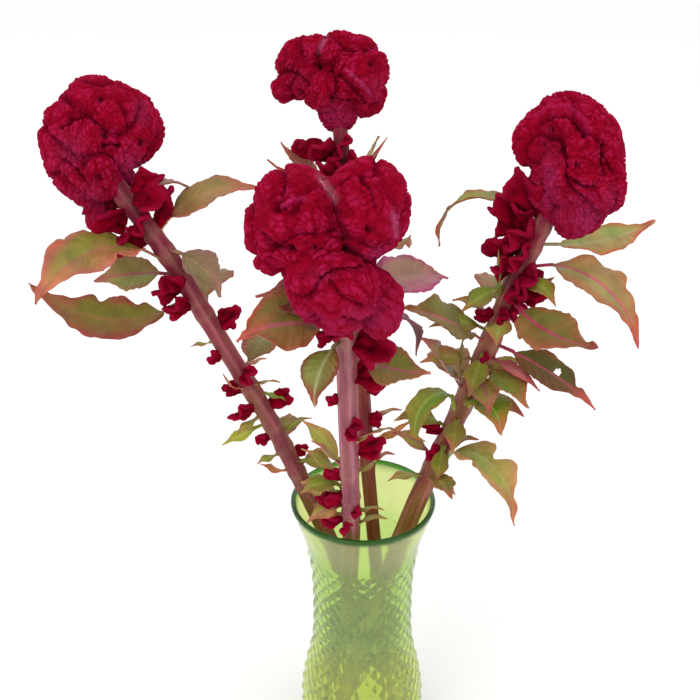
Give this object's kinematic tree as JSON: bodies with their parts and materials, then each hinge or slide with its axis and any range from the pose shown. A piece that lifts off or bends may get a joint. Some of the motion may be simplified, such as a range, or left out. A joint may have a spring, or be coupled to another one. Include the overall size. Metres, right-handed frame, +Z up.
{
  "type": "cockscomb celosia arrangement",
  "caption": "Cut cockscomb celosia stems with folded, velvety crests and loose leaves, standing in a flared pressed-glass vase of water.",
  "frame": {"origin": "centre of the vase's flat foot, on the surface it stands on", "axes": "+Z up along the vase's axis, -Y towards the front stem, +X to the right stem as seen from the front"},
  "size_m": [0.3795, 0.2756, 0.4948],
  "materials": {
    "glass": "gloss",
    "water": "gloss",
    "stem": "satin",
    "crest": "matte",
    "leaf": "satin"
  },
  "bodies": {
    "root": {"vase": "glass", "water": "water", "stem_left": "stem", "crest_left": "crest", "stem_front": "stem", "crest_front": "crest", "stem_back": "stem", "crest_back": "crest", "stem_right": "stem", "crest_right": "crest", "leaf_left_1": "leaf", "leaf_left_2": "leaf", "leaf_left_3": "leaf", "leaf_left_4": "leaf", "leaf_left_5": "leaf", "leaf_left_6": "leaf", "leaf_left_7": "leaf", "leaf_left_8": "leaf", "leaf_left_9": "leaf", "leaf_front_1": "leaf", "leaf_front_2": "leaf", "leaf_front_3": "leaf", "leaf_front_4": "leaf", "leaf_front_5": "leaf", "leaf_front_6": "leaf", "leaf_back_1": "leaf", "leaf_back_2": "leaf", "leaf_back_3": "leaf", "leaf_back_4": "leaf", "leaf_back_5": "leaf", "leaf_back_6": "leaf", "leaf_right_1": "leaf", "leaf_right_2": "leaf", "leaf_right_3": "leaf", "leaf_right_4": "leaf", "leaf_right_5": "leaf", "leaf_right_6": "leaf", "leaf_right_7": "leaf", "leaf_right_8": "leaf", "leaf_right_9": "leaf", "leaf_right_10": "leaf", "leaf_right_11": "leaf", "leaf_right_12": "leaf", "leaf_right_13": "leaf", "leaf_right_14": "leaf"}
  },
  "joints": []
}
